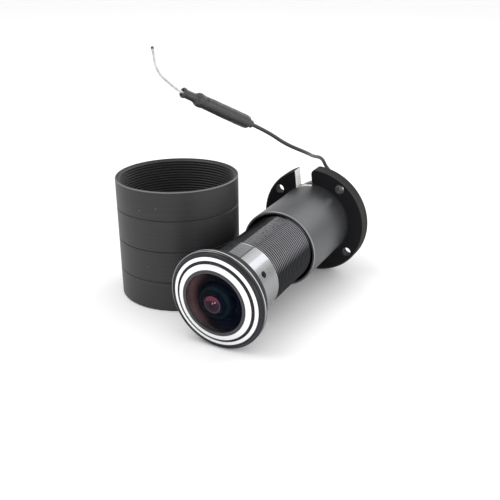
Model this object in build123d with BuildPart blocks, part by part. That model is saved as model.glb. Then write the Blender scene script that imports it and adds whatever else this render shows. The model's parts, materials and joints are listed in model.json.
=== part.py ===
"""Door viewer with a camera inside, lying on its two rims beside its loose rear cover.

The viewer is turned work on one axis. Stations are distances along that axis, from the
bezel's rim plane (0) towards the room side (+). Outlines of turned pieces are given as
(radius, station) points. All sizes are in millimetres, +Z is up, and the floor is Z = 0.
"""

from build123d import *
from math import asin, atan2, cos, pi, radians, sin, sqrt, tan
import os

os.makedirs("parts", exist_ok=True)

# ---- Driving dimensions -----------------------------------------------------------------

# Bezel and trim
bezel_radius = 16.5
bezel_depth = 2.7
rim_round = 0.8
boss_end = 14.5
trim_outer = (13.75, 14.85)
trim_inner = (11.15, 12.8)
retainer_radius = 11.1

# Lens
glass_radius = 9.9
glass_visible_radius = 9.6
glass_rear = 1.4
cell_front = 2.45
sensor_face = 27.4

# Barrel
barrel_bore = 10.6
collar_radius = 12.1
collar_end = 18.75
thread_radius = 12.0
thread_depth = 0.6
thread_pitch = 1.0
thread_turns = 64
barrel_end = 84.0
flat_distance = 11.82
flat_angle = 84
set_screw_angle = 30.4
set_screw_station = 12.0
set_screw_radius = 1.1
gasket_radius = 15.0
gasket_end = 6.0

# Clamp tube and its flange
tube_mouth = 42.0
tube_radius = 13.9
tube_bore = 13.1
lip_bore = 12.1
flange_front = 70.8
flange_rear = 75.1
flange_radius = 20.4
rim_thread_depth = 0.5
screw_circle_radius = 17.5
screw_hole_radius = 1.7
screw_angle = 52.6
notch_width = 6.6
notch_angle = 95
notch_offset = 2.46
notch_bottom = 12.7
notch_corner = 2.1

# Lock nut
nut_bore = 12.05
nut_radius = 13.3
nut_length = 4.5
nut_gap = 0.1

# Main board and what sits on it
board_width = 17.0
board_front = 33.0
board_rear = 81.0
board_thickness = 1.0
plate_thickness = 1.5
usb_x = -4.2
button_x = 6.2
button_height = 0.8
button_radius = 0.6
button_proud = 0.3
lead_x = 3.4
lead_height = 2.0
lead_radius = 0.685
running_gap = 0.05

# Rear cover
cover_radius = 21.6
cover_height = 43.0
cover_floor = 1.5
cover_thread_root = 20.6
cover_thread_turns = 32
groove_heights = (10.6, 21.8, 32.9)
cover_offset = (-36.3, 34.2)

# Antenna. Points are (x, y, z) from the floor under the rim centre.
sleeve_start = (-16.3, 50.1, 60.05)
sleeve_direction = (-0.4124, -0.7869, 0.4590)
sleeve_radius = 2.35
sleeve_length = 23.7
tip_radius = 1.5
tip_end = 28.6
neck_length = 1.9
bore_depth = 2.1
wire_radius = 0.42
lead_route = [
    (3.6, 88.2, 23.2),
    (3.1, 91.8, 25.0),
    (1.2, 94.2, 27.8),
    (-1.3, 94.6, 31.1),
    (-4.5, 92.4, 35.1),
    (-5.1, 89.3, 39.8),
    (-6.0, 82.2, 41.9),
    (-4.1, 73.3, 45.4),
    (-7.9, 62.3, 50.8),
    (-12.4, 57.5, 55.7),
]
wire_route = [
    (-29.4, 23.0, 76.4),
    (-31.5, 20.9, 79.2),
    (-32.9, 20.5, 82.1),
    (-34.1, 21.5, 85.2),
    (-34.9, 22.1, 87.2),
]

# ---- Frame ------------------------------------------------------------------------------

# The viewer rests on the bezel's rim and on the flange's rim, so its axis rises to the rear.
tilt = atan2(flange_radius - bezel_radius, flange_front + 0.2 - rim_round)
viewer_x, viewer_y = 18.75, -39.94
rim_height = bezel_radius * cos(tilt) - rim_round * sin(tilt)

rim_centre = Vector(viewer_x, viewer_y, rim_height)
rearward = Vector(0, cos(tilt), sin(tilt))
viewer_axis = Axis(rim_centre, rearward)

# Local x is the radius and local y the station; its normal is the viewer's own "up".
radial_plane = Plane(origin=rim_centre, x_dir=(1, 0, 0), z_dir=(0, -sin(tilt), cos(tilt)))
# Local x is the station and local y the height over the axis.
side_plane = Plane(origin=rim_centre, x_dir=rearward, z_dir=(1, 0, 0))


def section(station, angle=0):
    """Plane across the axis, seen from the front: local x to the right, or turned up by an angle."""
    right, up = Vector(1, 0, 0), Vector(0, -sin(tilt), cos(tilt))
    outward = right * cos(radians(angle)) + up * sin(radians(angle))
    return Plane(origin=rim_centre + rearward * station, x_dir=outward, z_dir=-rearward)


def spoke(angle, station):
    """Plane on the axis at a station, whose normal points outwards at the given angle."""
    flat = section(station, angle)
    return Plane(origin=flat.origin, x_dir=rearward, z_dir=flat.x_dir)


def lens_surface(edge_radius, edge_station, apex_station):
    """Half of a spherical surface, from its apex on the axis to its edge."""
    sag = edge_station - apex_station
    curvature = (edge_radius**2 + sag**2) / (2 * sag)
    half = asin(edge_radius / abs(curvature)) / 2
    middle = (abs(curvature) * sin(half), apex_station + curvature * (1 - cos(half)))
    ThreePointArc((0, apex_station), middle, (edge_radius, edge_station))


def thread_outline(end_radius, middle_radius, start, pitch, turns):
    """Zigzag of thread rings as (radius, station) points, from one end radius to the last."""
    points = [(end_radius, start)]
    for turn in range(turns):
        points.append((middle_radius, start + (turn + 0.5) * pitch))
        points.append((end_radius, start + (turn + 1) * pitch))
    return points


def save(piece, label):
    """Names a finished piece and writes its STEP file."""
    piece.part.label = label
    export_step(piece.part, f"parts/{label}.step")


# ---- Bezel and trim ---------------------------------------------------------------------

with BuildPart() as bezel:
    with BuildSketch(radial_plane):
        with BuildLine():
            rim_start = (bezel_radius - rim_round, 0)
            rim_end = (bezel_radius, rim_round)
            Polyline(
                (trim_inner[0], 1.6), (trim_inner[0], 0.2), (trim_inner[1], 0.2),
                (trim_inner[1] + 0.15, 0.35), (trim_outer[0] - 0.15, 0.35),
                (trim_outer[0], 0.2), (trim_outer[0], 0.9), (trim_outer[1], 0.9),
                (trim_outer[1], 0.1), rim_start,
            )
            RadiusArc(rim_start, rim_end, rim_round)
            Polyline(
                rim_end, (bezel_radius, bezel_depth - 0.25), (bezel_radius - 0.25, bezel_depth),
                (barrel_bore, bezel_depth), (barrel_bore, boss_end - 0.3),
                (barrel_bore - 0.3, boss_end), (7.05, boss_end), (7.05, 4.4), (8.6, 4.4),
                (8.6, 2.2), (9.95, 2.2), (9.95, 1.6), (trim_inner[0], 1.6),
            )
        make_face()
    revolve(axis=viewer_axis)
save(bezel, "bezel")

with BuildPart() as outer_trim_ring:
    with BuildSketch(radial_plane):
        inside, outside = trim_outer
        Polygon((inside, -0.15), (outside, 0.1), (outside, 0.9), (inside, 0.9), align=None)
    revolve(axis=viewer_axis)
save(outer_trim_ring, "outer_trim_ring")

with BuildPart() as inner_trim_ring:
    with BuildSketch(radial_plane):
        inside, outside = trim_inner
        Polygon((inside, -1.1), (outside, -0.55), (outside, 0.2), (inside, 0.2), align=None)
    revolve(axis=viewer_axis)
save(inner_trim_ring, "inner_trim_ring")

with BuildPart() as lens_retaining_ring:
    with BuildSketch(radial_plane):
        Polygon(
            (9.95, -0.9), (10.1, -1.25), (10.55, -1.15), (10.6, -1.0), (retainer_radius, -0.9),
            (retainer_radius, 1.6), (9.95, 1.6), align=None,
        )
    revolve(axis=viewer_axis)
save(lens_retaining_ring, "lens_retaining_ring")

# ---- Lens -------------------------------------------------------------------------------

with BuildPart() as front_lens:
    with BuildSketch(radial_plane):
        with BuildLine():
            lens_surface(glass_visible_radius, -1.2, -4.6)
            Polyline(
                (glass_visible_radius, -1.2), (glass_radius, -0.9), (glass_radius, glass_rear),
                (6.4, glass_rear),
            )
            lens_surface(6.4, glass_rear, -2.2)
            Line((0, -2.2), (0, -4.6))
        make_face()
    revolve(axis=viewer_axis)
save(front_lens, "front_lens")

with BuildPart() as lens_seal:
    with BuildSketch(radial_plane):
        with Locations((9.2, 1.8)):
            Circle(0.38)
    revolve(axis=viewer_axis)
save(lens_seal, "lens_seal")

with BuildPart() as lens_cell:
    with BuildSketch(radial_plane):
        Polygon(
            (6.3, cell_front), (8.5, cell_front), (8.5, 4.35), (7.0, 4.35), (7.0, 12.0),
            (6.0, 12.4), (6.0, 22.4), (4.6, 22.4), (4.6, 13.0), (2.0, 13.0), (2.0, 9.0),
            (3.15, 9.0), (3.15, 2.9), align=None,
        )
    revolve(axis=viewer_axis)
save(lens_cell, "lens_cell")

with BuildPart() as second_lens:
    with BuildSketch(radial_plane):
        with BuildLine():
            lens_surface(3.1, 3.0, 1.5)
            Polyline((3.1, 3.0), (3.1, 4.6), (0, 4.6), (0, 1.5))
        make_face()
    revolve(axis=viewer_axis)
save(second_lens, "second_lens")

with BuildPart() as aperture_stop:
    with BuildSketch(section(8.8)):
        Circle(3.1)
        Circle(0.9, mode=Mode.SUBTRACT)
    extrude(amount=0.2, dir=rearward)
save(aperture_stop, "aperture_stop")

with BuildPart() as rear_lens:
    with BuildSketch(radial_plane):
        with BuildLine():
            lens_surface(4.55, 15.0, 14.0)
            Line((4.55, 15.0), (4.55, 17.0))
            lens_surface(4.55, 17.0, 18.2)
            Line((0, 18.2), (0, 14.0))
        make_face()
    revolve(axis=viewer_axis)
save(rear_lens, "rear_lens")

# ---- Sensor and its mount ---------------------------------------------------------------

holder_base = 24.0
sensor_screw_x = 8.2
board_disc_rear = sensor_face + 1.0

with BuildPart() as lens_holder:
    with BuildSketch(section(15.0)):
        Circle(7.2)
    extrude(amount=holder_base - 15.0, dir=rearward)
    with BuildSketch(section(holder_base)):
        Rectangle(14, 14)
        with Locations((-sensor_screw_x, 0), (sensor_screw_x, 0)):
            Circle(1.6)
    extrude(amount=sensor_face - holder_base, dir=rearward)
    with BuildSketch(section(15.0)):
        Circle(6.05)
    extrude(amount=holder_base - 15.0, dir=rearward, mode=Mode.SUBTRACT)
    with BuildSketch(section(holder_base)):
        Circle(4.8)
    extrude(amount=1.2, dir=rearward, mode=Mode.SUBTRACT)
    with BuildSketch(section(holder_base + 1.2)):
        Rectangle(11, 11)
    extrude(amount=3.0, dir=rearward, mode=Mode.SUBTRACT)
    with BuildSketch(section(holder_base)):
        with Locations((-sensor_screw_x, 0), (sensor_screw_x, 0)):
            Circle(0.8)
    extrude(amount=4.0, dir=rearward, mode=Mode.SUBTRACT)
save(lens_holder, "lens_holder")

with BuildPart() as infrared_filter:
    with BuildSketch(section(holder_base + 1.2)):
        Rectangle(10, 10)
    extrude(amount=0.4, dir=rearward)
save(infrared_filter, "infrared_filter")

with BuildPart() as image_sensor:
    with BuildSketch(section(sensor_face - 1.0)):
        Rectangle(8, 8)
    extrude(amount=1.0, dir=rearward)
save(image_sensor, "image_sensor")

with BuildPart() as sensor_board:
    with BuildSketch(section(sensor_face)):
        Circle(10.3)
        with Locations((-sensor_screw_x, 0), (sensor_screw_x, 0)):
            Circle(0.8, mode=Mode.SUBTRACT)
    extrude(amount=1.0, dir=rearward)
save(sensor_board, "sensor_board")

with BuildPart() as sensor_screws:
    with BuildSketch(section(holder_base + 0.6)):
        with Locations((-sensor_screw_x, 0), (sensor_screw_x, 0)):
            Circle(0.78)
    extrude(amount=board_disc_rear - holder_base - 0.6, dir=rearward)
    with BuildSketch(section(board_disc_rear)):
        with Locations((-sensor_screw_x, 0), (sensor_screw_x, 0)):
            Circle(1.4)
    extrude(amount=1.0, dir=rearward)
    with BuildSketch(section(board_disc_rear + 0.5)):
        with Locations((-sensor_screw_x, 0), (sensor_screw_x, 0)):
            Rectangle(1.8, 0.4)
            Rectangle(0.4, 1.8)
    extrude(amount=0.5, dir=rearward, mode=Mode.SUBTRACT)
save(sensor_screws, "sensor_screws")

with BuildPart() as sensor_ribbon:
    with BuildSketch(side_plane):
        Polygon(
            (board_disc_rear, 4.0), (31.0, 4.0), (35.5, 0.9), (39.0, 0.9), (39.0, 0.7),
            (35.4, 0.7), (30.9, 3.8), (board_disc_rear, 3.8), align=None,
        )
    extrude(amount=4.0, both=True)
save(sensor_ribbon, "sensor_ribbon")

# ---- Main board -------------------------------------------------------------------------

board_middle = (board_front + board_rear) / 2
wifi_height = 2.2
plug_station = 73.5
plug_radius = 1.3

with BuildPart() as main_board:
    with BuildSketch(radial_plane.offset(-board_thickness)):
        with Locations((0, board_middle)):
            RectangleRounded(board_width, board_rear - board_front, 1.0)
    extrude(amount=board_thickness)
save(main_board, "main_board")

# Each chip is (x, station, width, length, height) on the board's upper side.
chips = [
    (0, 40, 10, 2, 1.0),
    (0, 50, 12, 12, 1.2),
    (-4.2, 60, 6, 5, 0.9),
    (4.4, 59, 4, 4, 1.6),
    (7.2, 66, 1.6, 3, 1.0),
]
with BuildPart() as board_chips:
    for chip_x, station, width, length, height in chips:
        with BuildSketch(radial_plane):
            with Locations((chip_x, station)):
                Rectangle(width, length)
        extrude(amount=height)
save(board_chips, "board_chips")

with BuildPart() as wifi_module:
    with BuildSketch(radial_plane):
        with Locations((-1.0, 70.0)):
            Rectangle(13, 12)
    extrude(amount=0.8)
    with BuildSketch(radial_plane.offset(0.8)):
        with Locations((-2.6, 70.0)):
            RectangleRounded(9.2, 11, 0.6)
    extrude(amount=wifi_height - 0.8)
save(wifi_module, "wifi_module")

with BuildPart() as antenna_plug:
    with BuildSketch(radial_plane.offset(0.8)):
        with Locations((lead_x, plug_station)):
            Circle(plug_radius)
    extrude(amount=lead_height)
save(antenna_plug, "antenna_plug")

with BuildPart() as usb_socket:
    with BuildSketch(radial_plane):
        with Locations((usb_x, barrel_end - 2.75)):
            Rectangle(7.6, 5.5)
    extrude(amount=2.7)
    with BuildSketch(side_plane.offset(usb_x)):
        with Locations((barrel_end - 2.25, 1.35)):
            Rectangle(4.5, 1.9)
    extrude(amount=3.45, both=True, mode=Mode.SUBTRACT)
    with BuildSketch(side_plane.offset(usb_x)):
        with Locations((barrel_end - 2.75, 1.6)):
            Rectangle(4.1, 0.6)
    extrude(amount=2.0, both=True)
save(usb_socket, "usb_socket")

with BuildPart() as card_socket:
    with BuildSketch(radial_plane.offset(-board_thickness - 1.6)):
        with Locations((0, barrel_end - 6.25)):
            Rectangle(12, 12.5)
    extrude(amount=1.6)
    with BuildSketch(radial_plane.offset(-board_thickness - 1.25)):
        with Locations((0, barrel_end - 5.25)):
            Rectangle(11, 10.5)
    extrude(amount=0.9, mode=Mode.SUBTRACT)
save(card_socket, "card_socket")

switch_rear = 82.0
with BuildPart() as reset_switch:
    with BuildSketch(radial_plane):
        with Locations((button_x, switch_rear - 1.5)):
            Rectangle(3.6, 3.0)
    extrude(amount=1.6)
    with BuildSketch(section(switch_rear - 1.4)):
        with Locations((button_x, button_height)):
            Circle(button_radius + running_gap)
    extrude(amount=1.4, dir=rearward, mode=Mode.SUBTRACT)
save(reset_switch, "reset_switch")

with BuildPart() as reset_button:
    with BuildSketch(section(switch_rear - 1.0)):
        with Locations((button_x, button_height)):
            Circle(button_radius)
    extrude(amount=barrel_end + button_proud - switch_rear + 1.0, dir=rearward)
save(reset_button, "reset_button")

# ---- Rear plate and the lead's grommet --------------------------------------------------

plate_front = barrel_end - plate_thickness
grommet_neck = 1.15
lead_exit = barrel_end + 0.4

with BuildPart() as rear_plate:
    with BuildSketch(section(plate_front)):
        Circle(barrel_bore)
        with Locations((usb_x, 1.35)):
            Rectangle(7.7, 2.8, mode=Mode.SUBTRACT)
        with Locations((0, -board_thickness - 0.8)):
            Rectangle(12.1, 1.7, mode=Mode.SUBTRACT)
        with Locations((button_x, button_height)):
            Circle(button_radius + running_gap, mode=Mode.SUBTRACT)
        with Locations((lead_x, lead_height)):
            Circle(grommet_neck, mode=Mode.SUBTRACT)
    extrude(amount=plate_thickness, dir=rearward)
save(rear_plate, "rear_plate")

with BuildPart() as lead_grommet:
    with BuildSketch(section(plate_front)):
        with Locations((lead_x, lead_height)):
            Circle(grommet_neck)
    extrude(amount=plate_thickness, dir=rearward)
    with BuildSketch(section(barrel_end)):
        with Locations((lead_x, lead_height)):
            Circle(1.6)
    extrude(amount=lead_exit - barrel_end, dir=rearward)
    with BuildSketch(section(plate_front)):
        with Locations((lead_x, lead_height)):
            Circle(lead_radius + running_gap)
    extrude(amount=lead_exit - plate_front, dir=rearward, mode=Mode.SUBTRACT)
save(lead_grommet, "lead_grommet")

# ---- Barrel, gasket and set screw -------------------------------------------------------

with BuildPart() as barrel:
    with BuildSketch(radial_plane):
        thread = thread_outline(
            thread_radius - thread_depth, thread_radius, collar_end + 0.25, thread_pitch,
            thread_turns,
        )
        Polygon(
            (barrel_bore, bezel_depth), (collar_radius, bezel_depth),
            (collar_radius, collar_end - 0.3), (collar_radius - 0.3, collar_end), *thread,
            (thread_radius - thread_depth, barrel_end), (barrel_bore, barrel_end), align=None,
        )
    revolve(axis=viewer_axis)
    with BuildSketch(section(bezel_depth)):
        with PolarLocations(flat_distance + 1, 1, start_angle=flat_angle):
            Rectangle(2, 8)
    extrude(amount=barrel_end - bezel_depth, dir=rearward, mode=Mode.SUBTRACT)
    with BuildSketch(spoke(set_screw_angle, set_screw_station).offset(barrel_bore - 1)):
        Circle(set_screw_radius)
    extrude(amount=3.0, mode=Mode.SUBTRACT)
save(barrel, "barrel")

with BuildPart() as set_screw:
    with BuildSketch(spoke(set_screw_angle, set_screw_station).offset(barrel_bore)):
        Circle(set_screw_radius - 0.02)
    extrude(amount=0.9)
    with BuildSketch(spoke(set_screw_angle, set_screw_station).offset(barrel_bore + 0.3)):
        RegularPolygon(0.65, 6)
    extrude(amount=1.0, mode=Mode.SUBTRACT)
save(set_screw, "set_screw")

with BuildPart() as door_gasket:
    with BuildSketch(radial_plane):
        Polygon(
            (collar_radius + 0.02, bezel_depth), (gasket_radius, bezel_depth),
            (gasket_radius, gasket_end - 0.4), (gasket_radius - 0.4, gasket_end),
            (collar_radius + 0.02, gasket_end), align=None,
        )
    revolve(axis=viewer_axis)
save(door_gasket, "door_gasket")

# ---- Clamp tube and lock nut ------------------------------------------------------------

with BuildPart() as clamp_tube:
    with BuildSketch(radial_plane):
        rim_thread = thread_outline(
            flange_radius, flange_radius - rim_thread_depth, flange_front + 0.2, thread_pitch, 4
        )
        Polygon(
            (tube_bore, tube_mouth), (tube_radius - 0.2, tube_mouth),
            (tube_radius, tube_mouth + 0.2), (tube_radius, flange_front - 0.4),
            (tube_radius + 0.4, flange_front), (flange_radius - 0.2, flange_front), *rim_thread,
            (flange_radius - 0.1, flange_rear), (lip_bore, flange_rear),
            (lip_bore, flange_rear - 5.6), (tube_bore, flange_rear - 6.6), align=None,
        )
    revolve(axis=viewer_axis)
    with Locations(Plane(origin=rim_centre + rearward * flange_rear, x_dir=(1, 0, 0), z_dir=rearward)):
        with PolarLocations(screw_circle_radius, 4, start_angle=-screw_angle):
            CounterSinkHole(screw_hole_radius, 2.4, depth=flange_rear - flange_front)
    # The notch runs along local x, and its right-hand wall is rounded over into the rim.
    with BuildSketch(section(flange_front - 0.6, notch_angle)):
        left, right = notch_offset + notch_width / 2, notch_offset - notch_width / 2
        beyond = flange_radius + 3
        corner_y = right - notch_corner
        corner = Vector(sqrt((flange_radius - notch_corner) ** 2 - corner_y**2), corner_y)
        wall_point = corner + Vector(0, notch_corner)
        rim_point = corner.normalized() * flange_radius
        crown = corner + (Vector(0, 1) + corner.normalized()).normalized() * notch_corner
        with BuildLine():
            Polyline(
                wall_point, (notch_bottom, right), (notch_bottom, left), (beyond, left),
                rim_point * (beyond / flange_radius), rim_point,
            )
            ThreePointArc(rim_point, crown, wall_point)
        make_face()
    extrude(amount=6.0, dir=rearward, mode=Mode.SUBTRACT)
save(clamp_tube, "clamp_tube")

nut_front = flange_rear + nut_gap
nut_rear = nut_front + nut_length
with BuildPart() as lock_nut:
    with BuildSketch(radial_plane):
        Polygon(
            (nut_bore, nut_front), (nut_radius, nut_front), (nut_radius, nut_rear - 0.4),
            (nut_radius - 0.4, nut_rear), (nut_bore, nut_rear), align=None,
        )
    revolve(axis=viewer_axis)
    with BuildSketch(section(nut_rear - 1.2)):
        with PolarLocations(nut_radius, 4):
            Rectangle(4, 2.2)
    extrude(amount=1.4, dir=rearward, mode=Mode.SUBTRACT)
save(lock_nut, "lock_nut")

# ---- Rear cover -------------------------------------------------------------------------

cover_centre = Vector(viewer_x + cover_offset[0], viewer_y + cover_offset[1], 0)
with BuildPart() as rear_cover:
    with BuildSketch(Plane(origin=cover_centre, x_dir=(1, 0, 0), z_dir=(0, -1, 0))):
        grooves = []
        for height in groove_heights:
            grooves += [
                (cover_radius, height - 0.25), (cover_radius - 0.3, height),
                (cover_radius, height + 0.25),
            ]
        inner_thread = thread_outline(
            cover_thread_root, cover_thread_root - thread_depth, cover_height - 0.3,
            -thread_pitch, cover_thread_turns,
        )
        inner_radius = cover_thread_root - 0.2
        Polygon(
            (0, 0), (cover_radius - 0.4, 0), (cover_radius, 0.4), *grooves,
            (cover_radius, cover_height - 0.2), (cover_radius - 0.2, cover_height),
            (cover_thread_root + 0.15, cover_height), *inner_thread,
            (inner_radius, cover_height - 33), (inner_radius, cover_floor), (0, cover_floor),
            align=None,
        )
    revolve(axis=Axis(cover_centre, (0, 0, 1)))
save(rear_cover, "rear_cover")

# ---- Antenna and its lead ---------------------------------------------------------------

under_rim = Vector(viewer_x, viewer_y, 0)
sleeve_origin = under_rim + Vector(*sleeve_start)
sleeve_along = Vector(*sleeve_direction).normalized()
sleeve_side = sleeve_along.cross(Vector(0, 0, 1)).normalized()
# Local x is the radius of the antenna sleeve and local y the distance along it.
sleeve_plane = Plane(
    origin=sleeve_origin, x_dir=sleeve_side, z_dir=sleeve_side.cross(sleeve_along)
)


def bend_radii(route):
    """Radius of the arc at each inner corner of a cord's route."""
    radii = []
    for before, corner, after in zip(route, route[1:], route[2:]):
        run_in, run_out = corner - before, after - corner
        half_turn = radians(run_in.get_angle(run_out)) / 2
        radii.append(0.45 * min(run_in.length, run_out.length) / tan(half_turn))
    return radii


def report_cord(name, piece, path_length, radii, radius):
    """Prints a cord's bends, and its volume beside its section times its length."""
    print(name, "length", round(path_length, 1), "bend radii", [round(r, 1) for r in radii])
    print(name, "volume", round(piece.part.volume, 2), round(pi * radius**2 * path_length, 2))


with BuildPart() as antenna_sleeve:
    with BuildSketch(sleeve_plane):
        shoulder = sleeve_length - 1.2
        Polygon(
            (0, -neck_length), (1.15, -neck_length), (1.25, -0.2), (2.0, 0), (sleeve_radius, 0.6),
            (sleeve_radius, shoulder - 1), (2.2, shoulder), (tip_radius, sleeve_length),
            (tip_radius, tip_end), (1.05, tip_end), (1.0, tip_end - bore_depth),
            (0, tip_end - bore_depth), align=None,
        )
    revolve(axis=Axis(sleeve_origin, sleeve_along))
save(antenna_sleeve, "antenna_sleeve")

# The lead inside the viewer runs straight from its plug out through the grommet.
with BuildPart() as inner_lead:
    inner_start = plug_station + plug_radius
    with BuildSketch(section(inner_start)):
        with Locations((lead_x, lead_height)):
            Circle(lead_radius)
    extrude(amount=lead_exit - inner_start, dir=rearward)
save(inner_lead, "inner_lead")

exit_point = section(lead_exit).from_local_coords(Vector(lead_x, lead_height, 0))
lead_points = [exit_point] + [under_rim + Vector(*point) for point in lead_route]
lead_points.append(sleeve_origin - sleeve_along * neck_length)
lead_radii = bend_radii(lead_points)
with BuildPart() as antenna_lead:
    with BuildLine() as lead_path:
        FilletPolyline(*lead_points, radius=lead_radii)
    with BuildSketch(Plane(origin=exit_point, z_dir=lead_path.wire() % 0)):
        Circle(lead_radius)
    sweep()
save(antenna_lead, "antenna_lead")
report_cord("antenna_lead", antenna_lead, lead_path.wire().length, lead_radii, lead_radius)

wire_start = sleeve_origin + sleeve_along * (tip_end - bore_depth)
wire_points = [wire_start, sleeve_origin + sleeve_along * (tip_end + 1.8)]
wire_points += [under_rim + Vector(*point) for point in wire_route]
wire_radii = bend_radii(wire_points)
with BuildPart() as antenna_wire:
    with BuildLine() as wire_path:
        FilletPolyline(*wire_points, radius=wire_radii)
    with BuildSketch(Plane(origin=wire_start, z_dir=wire_path.wire() % 0)):
        Circle(wire_radius)
    sweep()
save(antenna_wire, "antenna_wire")
report_cord("antenna_wire", antenna_wire, wire_path.wire().length, wire_radii, wire_radius)
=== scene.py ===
"""Looks of the camera door viewer: its antenna and lead, materials, light, floor and camera."""

import json
from math import cos, exp, pi, radians, sin, tau

import bmesh
import bpy
from mathutils import Matrix, Vector, noise


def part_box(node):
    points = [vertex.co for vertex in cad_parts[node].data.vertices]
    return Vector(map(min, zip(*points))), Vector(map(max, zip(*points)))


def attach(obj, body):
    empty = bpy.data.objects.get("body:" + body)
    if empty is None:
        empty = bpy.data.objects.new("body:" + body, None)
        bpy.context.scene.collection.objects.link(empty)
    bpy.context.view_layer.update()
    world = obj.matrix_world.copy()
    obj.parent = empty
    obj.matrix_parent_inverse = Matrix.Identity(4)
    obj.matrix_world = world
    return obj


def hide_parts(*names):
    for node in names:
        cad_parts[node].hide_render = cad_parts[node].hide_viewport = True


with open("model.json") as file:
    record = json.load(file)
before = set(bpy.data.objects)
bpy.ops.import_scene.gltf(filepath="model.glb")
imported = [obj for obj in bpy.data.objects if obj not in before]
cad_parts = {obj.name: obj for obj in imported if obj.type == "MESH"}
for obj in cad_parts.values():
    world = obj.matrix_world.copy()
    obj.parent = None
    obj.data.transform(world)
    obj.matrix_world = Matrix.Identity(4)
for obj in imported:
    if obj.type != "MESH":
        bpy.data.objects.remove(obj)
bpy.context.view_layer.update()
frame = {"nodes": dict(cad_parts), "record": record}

MM = 0.001

# ---- The viewer's own frame, from the imported pieces --------------------------------------

TILT = radians(3.18)  # of the viewer's axis, as it lies on its bezel rim and flange rim
REARWARD = Vector((0, cos(TILT), sin(TILT)))
UPWARD = Vector((0, -sin(TILT), cos(TILT)))
SIDEWAYS = Vector((1, 0, 0))
BEZEL_RADIUS = 16.5 * MM
RIM_HEIGHT = 16.43 * MM

bezel_low, bezel_high = map(Vector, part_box("bezel"))
cover_low, cover_high = map(Vector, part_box("rear_cover"))
RIM_CENTRE = Vector((
    (bezel_low.x + bezel_high.x) / 2,
    bezel_low.y + BEZEL_RADIUS * sin(TILT),
    RIM_HEIGHT,
))
UNDER_RIM = Vector((RIM_CENTRE.x, RIM_CENTRE.y, 0))
COVER_BASE = Vector(((cover_low.x + cover_high.x) / 2, (cover_low.y + cover_high.y) / 2, 0))


def from_rim(point_mm):
    """A point given in millimetres from the floor under the rim's centre, in metres."""
    return UNDER_RIM + Vector(point_mm) * MM


def on_viewer(across_mm, up_mm, station_mm):
    """A point beside, over and along the viewer's axis."""
    return RIM_CENTRE + (SIDEWAYS * across_mm + UPWARD * up_mm + REARWARD * station_mm) * MM


# ---- Camera -----------------------------------------------------------------------------

CAMERA_PLACE = from_rim((105.52, -165.97, 114.04))
CAMERA_AZIMUTH = radians(29.36)
CAMERA_PITCH = radians(22.31)
CAMERA_ROLL = radians(0.41)
CAMERA_LENS = 51.77


def make_camera():
    data = bpy.data.cameras.new("camera")
    data.lens = CAMERA_LENS
    data.sensor_width = 36
    data.clip_start = 0.01
    camera = bpy.data.objects.new("camera", data)
    bpy.context.scene.collection.objects.link(camera)
    turn = Matrix.Rotation(CAMERA_AZIMUTH, 4, "Z") @ Matrix.Rotation(pi / 2 - CAMERA_PITCH, 4, "X")
    turn = turn @ Matrix.Rotation(-CAMERA_ROLL, 4, "Z")
    camera.matrix_world = Matrix.Translation(CAMERA_PLACE) @ turn
    bpy.context.scene.camera = camera


make_camera()

# ---- Cords ------------------------------------------------------------------------------

# The sleeve's frame starts where its full width does, and its neck lies before that.
SLEEVE_START = from_rim((-16.3, 50.1, 60.05))
SLEEVE_ALONG = Vector((-0.4124, -0.7869, 0.4590)).normalized()
NECK_LENGTH = 1.9
TIP_END = 28.6
BORE_DEPTH = 2.1
WIRE_STRAIGHT = 1.8  # the wire leaves the sleeve's tip this far before it bends
LEAD_DIAMETER = 1.37
WIRE_DIAMETER = 0.84
LEAD_EXIT = on_viewer(3.4, 2.0, 84.4)
LEAD_ROUTE = [
    (3.6, 88.2, 23.2),
    (3.1, 91.8, 25.0),
    (1.2, 94.2, 27.8),
    (-1.3, 94.6, 31.1),
    (-4.5, 92.4, 35.1),
    (-5.1, 89.3, 39.8),
    (-6.0, 82.2, 41.9),
    (-4.1, 73.3, 45.4),
    (-7.9, 62.3, 50.8),
    (-12.4, 57.5, 55.7),
]
WIRE_ROUTE = [
    (-29.4, 23.0, 76.4),
    (-31.5, 20.9, 79.2),
    (-32.9, 20.5, 82.1),
    (-34.1, 21.5, 85.2),
    (-34.9, 22.1, 87.2),
]


def along_sleeve(distance_mm):
    return SLEEVE_START + SLEEVE_ALONG * distance_mm * MM


def make_cord(name, points, diameter_mm):
    """A round cord on one smooth NURBS line that has its route as control points.

    Its thickness is each point's radius, on a bevel of one metre.
    """
    curve = bpy.data.curves.new(name, "CURVE")
    curve.dimensions = "3D"
    curve.bevel_depth = 1.0
    curve.bevel_resolution = 6
    curve.resolution_u = 16
    curve.use_fill_caps = True
    spline = curve.splines.new("NURBS")
    spline.points.add(len(points) - 1)
    for spline_point, place in zip(spline.points, points):
        spline_point.co = (*place, 1)
        spline_point.radius = diameter_mm * MM / 2
    spline.order_u = 3
    spline.use_endpoint_u = True
    cord = bpy.data.objects.new(name, curve)
    bpy.context.scene.collection.objects.link(cord)
    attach(cord, "camera_unit")
    return cord


lead_points = [LEAD_EXIT, *map(from_rim, LEAD_ROUTE), along_sleeve(-NECK_LENGTH)]
lead = make_cord("antenna_lead_cord", lead_points, LEAD_DIAMETER)
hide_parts("antenna_lead")

wire_points = [along_sleeve(TIP_END - BORE_DEPTH), along_sleeve(TIP_END + WIRE_STRAIGHT)]
wire_points += map(from_rim, WIRE_ROUTE)
wire = make_cord("antenna_wire_line", wire_points, WIRE_DIAMETER)
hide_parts("antenna_wire")

# ---- Turned pieces of the antenna -------------------------------------------------------


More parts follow.
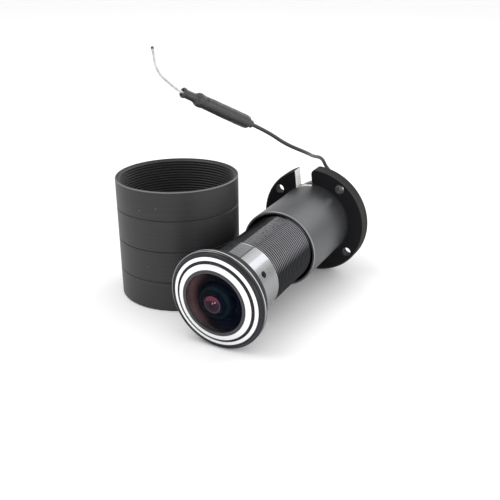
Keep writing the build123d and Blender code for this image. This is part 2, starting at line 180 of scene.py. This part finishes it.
def make_turned(name, origin, axis, profile, segments=64, shape=None):
    """A closed turned mesh from (distance, radius) points in millimetres along an axis.

    The first and last radius are 0. shape(distance, angle) scales the radius locally.
    """
    side = axis.orthogonal().normalized()
    other = axis.cross(side)
    mesh = bmesh.new()
    rings = []
    for distance, radius in profile:
        middle = origin + axis * distance * MM
        if radius == 0:
            rings.append([mesh.verts.new(middle)])
            continue
        ring = []
        for step in range(segments):
            angle = tau * step / segments
            reach = radius * MM * (shape(distance, angle) if shape else 1)
            outward = side * cos(angle) + other * sin(angle)
            ring.append(mesh.verts.new(middle + outward * reach))
        rings.append(ring)
    for ring, following in zip(rings, rings[1:]):
        for step in range(segments):
            after = (step + 1) % segments
            if len(ring) == 1:
                mesh.faces.new((ring[0], following[step], following[after]))
            elif len(following) == 1:
                mesh.faces.new((ring[step], following[0], ring[after]))
            else:
                mesh.faces.new((ring[step], following[step], following[after], ring[after]))
    bmesh.ops.recalc_face_normals(mesh, faces=mesh.faces)
    for face in mesh.faces:
        face.smooth = True
    data = bpy.data.meshes.new(name)
    mesh.to_mesh(data)
    mesh.free()
    piece = bpy.data.objects.new(name, data)
    bpy.context.scene.collection.objects.link(piece)
    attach(piece, "camera_unit")
    return piece


def smoothed(profile, step=0.25):
    """The profile with points added along its straight runs, for the lumps to act on.

    The runs to and from the axis, at its two ends, stay as they are.
    """
    points = [profile[0]]
    for (d0, r0), (d1, r1) in zip(profile, profile[1:]):
        run = ((d1 - d0) ** 2 + (r1 - r0) ** 2) ** 0.5
        parts = max(1, round(run / step)) if r0 and r1 else 1
        for part in range(1, parts + 1):
            points.append((d0 + (d1 - d0) * part / parts, r0 + (r1 - r0) * part / parts))
    return points


# Neck with its bump, long body, a swell before the narrow part, and the open, belled tip.
SLEEVE_PROFILE = [
    (-1.9, 0), (-1.9, 0.78), (-1.75, 1.05), (-1.4, 1.3), (-1.0, 1.38), (-0.6, 1.26), (-0.25, 1.2),
    (0.0, 1.5), (0.25, 1.95), (0.8, 2.25), (2.2, 2.35), (8.0, 2.33), (15.0, 2.28), (18.2, 2.22),
    (19.6, 2.18), (20.8, 2.38), (21.8, 2.42), (22.6, 2.2), (23.1, 1.8), (23.7, 1.54), (24.6, 1.46),
    (27.0, 1.46), (27.4, 1.6), (27.9, 1.74), (28.4, 1.72), (28.6, 1.55), (28.58, 1.25),
    (28.3, 1.12), (27.2, 1.04), (26.5, 1.0), (26.5, 0),
]


def sleeve_shape(distance, angle):
    """Heat-shrunk tube is never quite round: it has soft lumps, and a pinch on one side."""
    pinch = 0.2 * exp(-(((distance - 19.9) / 0.75) ** 2)) * max(0, cos(angle - 2.4)) ** 2
    spot = Vector((cos(angle) * 0.9, sin(angle) * 0.9, distance * 0.35))
    lumps = 0.028 * noise.noise(spot) if 0.5 < distance < 27 else 0
    return 1 - pinch + lumps


sleeve = make_turned(
    "antenna_sleeve_shrunk",
    SLEEVE_START,
    SLEEVE_ALONG,
    smoothed(SLEEVE_PROFILE),
    shape=sleeve_shape,
)
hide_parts("antenna_sleeve")

wire_tip = make_turned(
    "antenna_wire_tip",
    wire_points[-1],
    (wire_points[-1] - wire_points[-2]).normalized(),
    [(-0.3, 0), (-0.3, 0.46), (0.0, 0.48), (0.35, 0.46), (0.5, 0.34), (0.55, 0)],
    segments=32,
)

# ---- Shader helpers ---------------------------------------------------------------------


class Finish:
    """One material's node tree. Lengths in its coordinates are millimetres."""

    def __init__(self, name, colour, roughness, metallic=0.0, **sockets):
        self.material = bpy.data.materials.new(name)
        self.material.use_nodes = True
        self.tree = self.material.node_tree
        self.shader = self.tree.nodes["Principled BSDF"]
        self.set(Metallic=metallic, Roughness=roughness, **sockets)
        self.shader.inputs["Base Color"].default_value = (*colour, 1)

    def set(self, **sockets):
        for name, value in sockets.items():
            self.shader.inputs[name.replace("_", " ")].default_value = value

    def node(self, kind, **settings):
        made = self.tree.nodes.new("ShaderNode" + kind)
        for name, value in settings.items():
            setattr(made, name, value)
        return made

    def feed(self, socket, value):
        """Links an output to a socket, or sets the socket to a number."""
        if isinstance(value, bpy.types.NodeSocket):
            self.tree.links.new(value, socket)
        else:
            socket.default_value = value

    def calc(self, operation, *values):
        made = self.node("Math", operation=operation)
        for socket, value in zip(made.inputs, values):
            self.feed(socket, value)
        return made.outputs[0]

    def between(self, value, start, end, low=0.0, high=1.0):
        """Smoothly from low to high as the value goes from start to end."""
        made = self.node("MapRange", interpolation_type="SMOOTHSTEP")
        for socket, number in zip(made.inputs, (value, start, end, low, high)):
            self.feed(socket, number)
        return made.outputs[0]

    def place(self, origin=(0, 0, 0), turn=(0, 0, 0)):
        """Coordinates in millimetres from an origin, in axes turned that way."""
        made = self.node("Mapping", vector_type="TEXTURE")
        made.inputs["Location"].default_value = origin
        made.inputs["Rotation"].default_value = turn
        made.inputs["Scale"].default_value = (MM, MM, MM)
        self.feed(made.inputs["Vector"], self.node("TexCoord").outputs["Object"])
        return made.outputs[0]

    def turned(self, origin=RIM_CENTRE, turn=(TILT, 0, 0)):
        """Radius and station about a turned piece's axis, and the whole position.

        The position's parts are x to the right, y along the axis and z over it.
        """
        position = self.place(origin, turn)
        x, station, z = self.apart(position)
        squares = self.calc("ADD", self.calc("MULTIPLY", x, x), self.calc("MULTIPLY", z, z))
        return self.calc("SQRT", squares), station, position

    def noise(self, vector, scale, detail=3.0, rough=0.5):
        made = self.node("TexNoise")
        self.feed(made.inputs["Vector"], vector)
        self.feed(made.inputs["Scale"], scale)
        self.feed(made.inputs["Detail"], detail)
        self.feed(made.inputs["Roughness"], rough)
        return made.outputs["Fac"]

    def rings(self, radius, station, scale=6.0):
        """Noise that runs round the axis, as a turning tool leaves it."""
        made = self.node("CombineXYZ")
        self.feed(made.inputs[0], radius)
        self.feed(made.inputs[1], station)
        return self.noise(made.outputs[0], scale, detail=4.0, rough=0.65)

    def blend(self, factor, one, other):
        """One colour where the factor is 0, the other where it is 1."""
        made = self.node("Mix", data_type="RGBA")
        self.feed(made.inputs["Factor"], factor)
        colours = [socket for socket in made.inputs if socket.type == "RGBA"]
        for socket, colour in zip(colours, (one, other)):
            self.feed(socket, colour if isinstance(colour, bpy.types.NodeSocket) else (*colour, 1))
        return made.outputs[2]

    def band(self, value, low, high, soft=0.05):
        """1 while the value is between two numbers, with soft ends."""
        rising = self.between(value, low - soft, low)
        return self.calc("MULTIPLY", rising, self.between(value, high, high + soft, 1.0, 0.0))

    def across(self, position, angle):
        """Millimetres to the left of the spoke at an angle, seen from the front."""
        x, _, z = self.apart(position)
        sideways = self.calc("MULTIPLY", x, -sin(angle))
        return self.calc("ADD", sideways, self.calc("MULTIPLY", z, cos(angle)))

    def facing(self, position, radius, angle, start, end):
        """1 on the side of a turned piece that faces an angle, 0 away from it."""
        along = self.across(position, angle - pi / 2)
        return self.between(self.calc("DIVIDE", along, radius), start, end)

    def mottled(self, value, dark, light, start=0.3, end=0.7):
        """From the dark colour to the light one, as the value of a noise rises."""
        return self.blend(self.between(value, start, end), dark, light)

    def apart(self, vector):
        made = self.node("SeparateXYZ")
        self.feed(made.inputs[0], vector)
        return made.outputs

    def colour(self, value):
        self.feed(self.shader.inputs["Base Color"], value)

    def roughness(self, value):
        self.feed(self.shader.inputs["Roughness"], value)

    def gloss(self, value, low, high):
        """Roughness from low to high, as the value of a noise rises."""
        self.roughness(self.between(value, 0.3, 0.7, low, high))

    def bump(self, height, depth_mm, strength=1.0):
        made = self.node("Bump")
        self.feed(made.inputs["Height"], height)
        made.inputs["Distance"].default_value = depth_mm * MM
        made.inputs["Strength"].default_value = strength
        self.feed(self.shader.inputs["Normal"], made.outputs[0])


def grained(name, dark, light, rough_low, rough_high, grain, depth_mm, metallic):
    """A moulded or painted surface: fine grain, with slow changes of tone and gloss."""
    finish = Finish(name, light, rough_high, metallic)
    position = finish.place()
    slow = finish.noise(position, 0.35)
    fine = finish.noise(position, grain)
    finish.colour(finish.mottled(slow, dark, light, 0.35, 0.65))
    finish.gloss(fine, rough_low, rough_high)
    finish.bump(fine, depth_mm)
    return finish.material


# ---- Materials --------------------------------------------------------------------------


def bezel_black():
    """Gloss black, with a painted highlight line round its edge, and black behind the line."""
    finish = Finish("bezel_black", (0.012, 0.012, 0.015), 0.25, 0.0, Specular_IOR_Level=0.3)
    radius, station, position = finish.turned()
    rings = finish.rings(radius, station, 5.0)
    tone = finish.mottled(rings, (0.006, 0.006, 0.01), (0.014, 0.014, 0.018))
    # Painted highlight on the edge: towards the upper left on the front, towards the upper right on
    # the wall.
    left = finish.facing(position, radius, radians(150), 0.2, 0.6)
    outermost = finish.between(radius, 16.25, 16.45)
    front = finish.calc("MULTIPLY", outermost, finish.between(station, 0.9, 0.7))
    upper = finish.facing(position, radius, radians(60), 0.1, 0.5)
    outside = finish.between(radius, 16.0, 16.2)
    side = finish.calc("MULTIPLY", finish.band(station, 1.5, 1.85), outside)
    front_left = finish.calc("MULTIPLY", front, left)
    lighter_rim = finish.calc("MAXIMUM", front_left, finish.calc("MULTIPLY", side, upper))
    behind = finish.between(station, 1.9, 2.0)
    tone = finish.blend(behind, tone, (0.002, 0.002, 0.002))
    finish.colour(finish.blend(lighter_rim, tone, (0.5, 0.5, 0.52)))
    finish.gloss(rings, 0.2, 0.34)
    finish.bump(rings, 0.004)
    return finish.material


def polished_trim():
    """Fine-turned bright metal."""
    finish = Finish("polished_trim", (0.95, 0.95, 0.96), 0.2, 1.0)
    radius, station, _ = finish.turned()
    rings = finish.rings(radius, station, 9.0)
    finish.colour(finish.mottled(rings, (0.88, 0.88, 0.9), (0.98, 0.98, 0.98)))
    finish.gloss(rings, 0.14, 0.3)
    finish.bump(rings, 0.006)
    return finish.material


def retainer_grey():
    """Satin grey ring round the glass, with its turning marks."""
    finish = Finish("retainer_grey", (0.06, 0.06, 0.061), 0.4, 0.5)
    radius, station, _ = finish.turned()
    rings = finish.rings(radius, station, 8.0)
    finish.colour(finish.mottled(rings, (0.04, 0.039, 0.04), (0.085, 0.083, 0.085), 0.35, 0.65))
    finish.gloss(rings, 0.34, 0.48)
    finish.bump(rings, 0.005)
    return finish.material


COATED_DISC = 2.6


def clear_glass():
    """Front glass, clear in front, with the view of its inside painted on its rear face:
    the dark inside, painted reflections brown left and blue right, and the violet inner lens.

    Its index is low because the real glass has a coating against reflections.
    """
    finish = Finish("clear_glass", (0.9, 0.9, 0.92), 0.02, 0.0)
    finish.set(IOR=1.06, Specular_IOR_Level=0.5)
    radius, station, position = finish.turned()
    x, _, z = finish.apart(position)
    # A paraboloid between the front and rear faces parts them.
    squared = finish.calc("MULTIPLY", radius, radius)
    between_faces = finish.calc("ADD", -3.4, finish.calc("MULTIPLY", squared, 0.032))
    # On the rear face, where this mask is 1, the view inside the lens is painted; the front stays
    # clear.
    painted_rear = finish.between(finish.calc("SUBTRACT", station, between_faces), -0.05, 0.05)
    # Dark ground, with painted reflections: brown towards its left edge, bluer to the right, and a
    # teal ring.
    side = finish.between(x, -4.0, 4.0)
    base = finish.blend(side, (0.006, 0.005, 0.008), (0.003, 0.005, 0.012))
    brown = finish.calc("MULTIPLY", finish.between(radius, 6.3, 9.6), finish.between(x, -2.0, -8.5))
    base = finish.blend(brown, base, (0.12, 0.065, 0.067))
    base = finish.blend(finish.band(radius, 4.7, 4.95, 0.5), base, (0.006, 0.016, 0.02))
    # Violet disc, the inner lens painted on, with a paler rim and a painted pink highlight high on
    # it.
    disc = finish.between(radius, COATED_DISC + 0.25, COATED_DISC)
    outward = finish.between(radius, 0.6, COATED_DISC)
    inner = finish.blend(outward, (0.024, 0.014, 0.022), (0.036, 0.024, 0.034))
    base = finish.blend(disc, base, inner)
    rim = finish.band(radius, COATED_DISC, COATED_DISC + 0.1, 0.25)
    base = finish.blend(rim, base, (0.065, 0.052, 0.065))
    patchy = finish.calc("ADD", z, finish.calc("MULTIPLY", finish.noise(position, 0.9), 1.6))
    high = finish.calc("MULTIPLY", disc, finish.between(patchy, 1.5, 2.8))
    base = finish.blend(high, base, (0.14, 0.035, 0.055))
    # Two small painted glints near the middle.
    for glint_x, glint_z in ((0.4, 0.7), (1.2, 1.1)):
        beside = finish.calc("ABSOLUTE", finish.calc("SUBTRACT", x, glint_x))
        above = finish.calc("ABSOLUTE", finish.calc("SUBTRACT", z, glint_z))
        glint = finish.between(finish.calc("ADD", beside, above), 0.42, 0.05)
        base = finish.blend(glint, base, (0.65, 0.45, 0.52))
    finish.colour(finish.blend(painted_rear, (0.95, 0.95, 0.97), base))
    clear = finish.calc("SUBTRACT", 1.0, painted_rear)
    finish.feed(finish.shader.inputs["Transmission Weight"], clear)
    smears = finish.calc("MULTIPLY", finish.noise(position, 0.5, detail=5.0), 0.02)
    finish.roughness(finish.calc("ADD", finish.calc("MULTIPLY", painted_rear, 0.4), smears))
    return finish.material


def coated_glass():
    """The second lens: a violet-grey coating, paler outward, with a painted pink highlight high on
    it.
    """
    finish = Finish("coated_glass", (0.1, 0.06, 0.1), 0.12, 0.2, Specular_IOR_Level=0.4)
    radius, _, position = finish.turned()
    dust = finish.noise(position, 2.0)
    # Painted pink highlight over the upper part of the lens.
    high = finish.between(finish.apart(position)[2], 0.6, 2.2)
    tone = finish.blend(finish.between(radius, 0.6, 2.9), (0.05, 0.025, 0.045), (0.16, 0.12, 0.19))
    finish.colour(finish.blend(high, tone, (0.55, 0.2, 0.26)))
    finish.roughness(finish.between(dust, 0.4, 0.7, 0.08, 0.2))
    return finish.material


def lens_black():
    """Blackened lens cell, with a faint teal ring painted on it as the reflection that the coating
    of its glass throws.
    """
    finish = Finish("lens_black", (0.003, 0.003, 0.004), 0.6, 0.0, Specular_IOR_Level=0.1)
    radius, station, _ = finish.turned()
    rings = finish.rings(radius, station, 6.0)
    teal = finish.between(finish.calc("ABSOLUTE", finish.calc("SUBTRACT", radius, 4.9)), 0.4, 0.0)
    finish.colour(finish.blend(teal, (0.003, 0.003, 0.005), (0.02, 0.07, 0.085)))
    finish.gloss(rings, 0.5, 0.7)
    finish.bump(rings, 0.006)
    return finish.material


FLAT_ANGLE = radians(84)  # of the milled flat on the barrel, from the right and up
THREAD_START = 18.75


def barrel_black():
    """Anodised barrel: a polished collar, then a thread and a grainy flat.

    The collar has a painted highlight stripe and a painted highlight on its rear edge; the thread's
    crests carry a painted highlight on the lit side, and its roots are painted darker as shade.
    """
    finish = Finish("barrel_black", (0.2, 0.2, 0.21), 0.25, 1.0)
    radius, station, position = finish.turned()
    rings = finish.rings(radius, station, 7.0)
    grain = finish.noise(position, 4.0, detail=4.0)
    threaded = finish.between(station, THREAD_START, THREAD_START + 0.1)
    from_flat = finish.calc("ABSOLUTE", finish.across(position, FLAT_ANGLE))
    on_top = finish.between(finish.apart(position)[2], 10.9, 11.2)
    flat = finish.calc("MULTIPLY", finish.between(from_flat, 2.2, 2.05), on_top)
    # A thin dark line along each side of the flat.
    line_beside_flat = finish.calc("MULTIPLY", finish.band(from_flat, 2.35, 2.6, 0.08), on_top)
    # Painted highlights: a broad lit side of the thread and a narrow stripe on the collar.
    lit = finish.facing(position, radius, radians(48), 0.8, 0.985)
    highlight_stripe = finish.facing(position, radius, radians(50), 0.991, 0.998)
    collar = finish.mottled(rings, (0.26, 0.265, 0.27), (0.29, 0.295, 0.3))
    collar = finish.blend(highlight_stripe, collar, (0.4, 0.41, 0.43))
    collar = finish.blend(line_beside_flat, collar, (0.03, 0.03, 0.03))
    # Painted highlight on the collar's rear edge.
    rear_edge_highlight = finish.band(station, THREAD_START - 0.35, THREAD_START)
    collar = finish.blend(rear_edge_highlight, collar, (0.9, 0.9, 0.92))
    # Painted shade in the thread's roots, and a painted highlight on the crests of the lit side.
    crest = finish.between(radius, 11.66, 11.94)
    shaded_thread = finish.blend(crest, (0.006, 0.006, 0.007), (0.045, 0.046, 0.05))
    bright = finish.blend(crest, (0.003, 0.003, 0.004), (0.33, 0.33, 0.35))
    thread = finish.blend(lit, shaded_thread, bright)
    strip = finish.mottled(grain, (0.05, 0.05, 0.054), (0.2, 0.2, 0.21), 0.35, 0.65)
    thread = finish.blend(flat, thread, strip)
    finish.colour(finish.blend(threaded, collar, thread))
    satin = finish.between(grain, 0.3, 0.7, 0.28, 0.36)
    gloss = finish.between(rings, 0.3, 0.7, 0.24, 0.3)
    mixed = finish.node("Mix")
    finish.feed(mixed.inputs[0], threaded)
    finish.feed(mixed.inputs[2], gloss)
    finish.feed(mixed.inputs[3], satin)
    finish.roughness(mixed.outputs[0])
    rough_flat = finish.calc("MULTIPLY", finish.calc("MULTIPLY", grain, flat), threaded)
    finish.bump(rough_flat, 0.04)
    return finish.material


NOTCH_ANGLE = radians(95)  # of the spoke that the flange's notch lies beside
NOTCH_OFFSET = 2.46
NOTCH_HALF_WIDTH = 3.3
TUBE_METALLIC = 0.85  # the flange's coating isn't metallic


def tube_black():
    """Satin tube, matt black flange with a lighter rim, and bare metal on the cut notch's walls."""
    finish = Finish("tube_black", (0.1, 0.1, 0.1), 0.4, TUBE_METALLIC, Specular_IOR_Level=0.12)
    radius, station, position = finish.turned()
    z = finish.apart(position)[2]
    rings = finish.rings(radius, station, 4.0)
    grain = finish.noise(position, 5.0, detail=4.0)
    flange = finish.between(station, 69.9, 70.3)
    rim = finish.between(radius, 19.75, 20.0)
    aside = finish.calc("SUBTRACT", finish.across(position, NOTCH_ANGLE), NOTCH_OFFSET)
    aside = finish.calc("ABSOLUTE", aside)
    cut = finish.between(aside, NOTCH_HALF_WIDTH + 0.06, NOTCH_HALF_WIDTH + 0.02)
    cut = finish.calc("MULTIPLY", cut, finish.between(z, 12.0, 12.4))
    cut = finish.calc("MULTIPLY", cut, flange)
    tube = finish.mottled(grain, (0.1, 0.102, 0.106), (0.13, 0.132, 0.136))
    front_end = finish.between(station, 42.35, 42.2)
    mouth = finish.calc("MULTIPLY", front_end, finish.between(radius, 13.5, 13.6))
    tube = finish.blend(mouth, tube, (0.27, 0.27, 0.27))
    face = finish.mottled(grain, (0.006, 0.006, 0.007), (0.013, 0.013, 0.015))
    lighter_rim = finish.mottled(rings, (0.02, 0.02, 0.019), (0.06, 0.06, 0.058), 0.35, 0.65)
    bare = finish.mottled(grain, (0.4, 0.4, 0.39), (0.98, 0.98, 0.96), 0.35, 0.6)
    outside = finish.blend(rim, face, lighter_rim)
    whole = finish.blend(flange, tube, outside)
    finish.colour(finish.blend(cut, whole, bare))
    on_tube = finish.calc("SUBTRACT", 1.0, flange)
    metallic = finish.calc("MULTIPLY", on_tube, TUBE_METALLIC)
    finish.feed(finish.shader.inputs["Metallic"], metallic)
    finish.gloss(grain, 0.36, 0.5)
    everywhere = finish.calc("MULTIPLY", grain, 0.06)
    finish.bump(finish.calc("ADD", finish.calc("MULTIPLY", cut, grain), everywhere), 0.12)
    return finish.material


COVER_RIM_HEIGHT = 42.7


def cover_black():
    """Matt anodised cover: faint turning marks, a thin painted highlight on its rim with painted
    shade inside it, and a few dust specks.
    """
    finish = Finish("cover_black", (0.03, 0.03, 0.032), 0.45, 0.0, Specular_IOR_Level=0.4)
    radius, station, position = finish.turned(COVER_BASE, (pi / 2, 0, 0))
    rings = finish.rings(radius, station, 3.0)
    grain = finish.noise(position, 6.0, detail=4.0)
    height = finish.calc("ABSOLUTE", station)
    specks = finish.between(finish.noise(position, 1.6, detail=0.0), 0.9, 0.92)
    tone = finish.mottled(rings, (0.016, 0.016, 0.018), (0.026, 0.026, 0.027))
    tone = finish.blend(specks, tone, (0.3, 0.3, 0.3))
    # Painted shade over the rim's top and inside it, and a thin painted highlight on the rim's
    # outer edge.
    top = finish.between(height, COVER_RIM_HEIGHT, COVER_RIM_HEIGHT + 0.08)
    tone = finish.blend(top, tone, (0.004, 0.004, 0.004))
    lighter_rim = finish.calc("MULTIPLY", top, finish.between(radius, 21.3, 21.36))
    finish.colour(finish.blend(lighter_rim, tone, (0.16, 0.16, 0.155)))
    finish.gloss(grain, 0.42, 0.56)
    finish.bump(grain, 0.012)
    return finish.material


def heat_shrink():
    """Shrunk sleeve: satin black, with wrinkles round it."""
    finish = Finish("heat_shrink", (0.03, 0.03, 0.03), 0.42, 0.0, Specular_IOR_Level=0.5)
    turn = SLEEVE_ALONG.to_track_quat("Y", "Z").to_euler()
    radius, station, position = finish.turned(SLEEVE_START, turn)
    wrinkles = finish.rings(radius, station, 1.2)
    grain = finish.noise(position, 3.0)
    finish.colour(finish.mottled(grain, (0.014, 0.014, 0.015), (0.04, 0.04, 0.041)))
    finish.gloss(wrinkles, 0.3, 0.5)
    finish.bump(finish.calc("ADD", wrinkles, finish.calc("MULTIPLY", grain, 0.5)), 0.08)
    return finish.material


def circuit_board():
    """Green solder mask over copper tracks that run along and across the board."""
    finish = Finish("circuit_board", (0.01, 0.09, 0.035), 0.25, 0.0)
    tracks = finish.node("TexBrick", offset=0.37, squash=1.0)
    finish.feed(tracks.inputs["Vector"], finish.place(RIM_CENTRE, (TILT, 0, 0)))
    finish.feed(tracks.inputs["Scale"], 0.55)
    finish.feed(tracks.inputs["Mortar Size"], 0.06)
    finish.colour(finish.blend(tracks.outputs["Fac"], (0.006, 0.07, 0.028), (0.03, 0.2, 0.07)))
    finish.bump(tracks.outputs["Fac"], 0.03)
    return finish.material


# Dark and light colour, low and high roughness, grain for each mm, its depth in mm, metallic.
GRAINED = {
    "filter_glass": ((0.2, 0.04, 0.06), (0.35, 0.1, 0.13), 0.03, 0.08, 1.0, 0.001, 0.0),
    "black_rubber": ((0.006, 0.006, 0.006), (0.014, 0.014, 0.014), 0.6, 0.8, 6.0, 0.02, 0.0),
    "black_plastic": ((0.014, 0.014, 0.015), (0.026, 0.026, 0.027), 0.38, 0.55, 7.0, 0.015, 0.0),
    "sensor_die": ((0.03, 0.02, 0.06), (0.08, 0.06, 0.13), 0.06, 0.14, 3.0, 0.001, 0.0),
    "steel": ((0.5, 0.5, 0.5), (0.68, 0.68, 0.67), 0.22, 0.38, 6.0, 0.006, 1.0),
    "ribbon_film": ((0.36, 0.16, 0.03), (0.5, 0.25, 0.06), 0.2, 0.35, 2.0, 0.004, 0.0),
    "chip_black": ((0.015, 0.015, 0.015), (0.03, 0.03, 0.03), 0.5, 0.65, 8.0, 0.01, 0.0),
    "shield_metal": ((0.5, 0.5, 0.49), (0.66, 0.67, 0.65), 0.26, 0.4, 3.0, 0.008, 1.0),
    "button_white": ((0.6, 0.59, 0.55), (0.74, 0.73, 0.69), 0.4, 0.55, 5.0, 0.008, 0.0),
    "gold_contact": ((0.7, 0.48, 0.16), (0.85, 0.63, 0.28), 0.18, 0.32, 5.0, 0.004, 1.0),
    "lead_jacket": ((0.01, 0.01, 0.01), (0.022, 0.022, 0.023), 0.32, 0.48, 3.0, 0.01, 0.0),
    "dark_steel": ((0.05, 0.05, 0.052), (0.1, 0.1, 0.1), 0.3, 0.45, 5.0, 0.008, 0.9),
    "nut_black": ((0.03, 0.03, 0.032), (0.06, 0.06, 0.062), 0.3, 0.45, 5.0, 0.01, 0.6),
    "white_wire": ((0.4, 0.39, 0.38), (0.66, 0.65, 0.63), 0.3, 0.45, 4.0, 0.01, 0.0),
}

MATERIALS = {
    "bezel_black": bezel_black(),
    "polished_trim": polished_trim(),
    "retainer_grey": retainer_grey(),
    "clear_glass": clear_glass(),
    "coated_glass": coated_glass(),
    "lens_black": lens_black(),
    "barrel_black": barrel_black(),
    "tube_black": tube_black(),
    "cover_black": cover_black(),
    "heat_shrink": heat_shrink(),
    "circuit_board": circuit_board(),
}
for name, look in GRAINED.items():
    MATERIALS[name] = grained(name, *look)

for part in frame["record"]["subparts"]:
    for slot in frame["nodes"][part["node"]].material_slots:
        slot.material = MATERIALS[part["material_slot"]]

new_pieces = {
    lead: "lead_jacket",
    wire: "white_wire",
    sleeve: "heat_shrink",
    wire_tip: "dark_steel",
}
for piece, slot_name in new_pieces.items():
    piece.data.materials.append(MATERIALS[slot_name])

# ---- Floor and light --------------------------------------------------------------------


def make_floor():
    """A white sheet, wide enough to fill the picture."""
    mesh = bpy.data.meshes.new("floor")
    reach = 4.0
    corners = [(-reach, -reach, 0), (reach, -reach, 0), (reach, reach, 0), (-reach, reach, 0)]
    mesh.from_pydata(corners, [], [(0, 1, 2, 3)])
    floor = bpy.data.objects.new("floor", mesh)
    bpy.context.scene.collection.objects.link(floor)
    finish = Finish("floor_white", (0.96, 0.96, 0.96), 0.75, Specular_IOR_Level=0.2)
    paper = finish.noise(finish.place(), 0.4)
    finish.gloss(paper, 0.7, 0.85)
    mesh.materials.append(finish.material)


def make_world(strength):
    """Even white light from all sides."""
    world = bpy.data.worlds.new("studio")
    world.use_nodes = True
    background = world.node_tree.nodes["Background"]
    background.inputs["Color"].default_value = (1, 1, 1, 1)
    background.inputs["Strength"].default_value = strength
    bpy.context.scene.world = world


def make_softbox(name, place, target, size, power):
    """A square area light that faces its target."""
    data = bpy.data.lights.new(name, "AREA")
    data.size = size
    data.energy = power
    light = bpy.data.objects.new(name, data)
    bpy.context.scene.collection.objects.link(light)
    facing = (target - place).to_track_quat("-Z", "Y").to_matrix().to_4x4()
    light.matrix_world = Matrix.Translation(place) @ facing


MIDDLE = on_viewer(0, 0, 40)

make_floor()
make_world(1.0)
make_softbox("key", MIDDLE + Vector((-0.35, -0.25, 0.75)), MIDDLE, 0.5, 2.0)
make_softbox("fill", MIDDLE + Vector((0.7, -0.1, 0.12)), MIDDLE, 0.5, 2.0)
make_softbox("back", MIDDLE + Vector((0.25, 0.8, 0.5)), MIDDLE, 0.6, 1.6)

bpy.context.scene.view_settings.view_transform = "Standard"
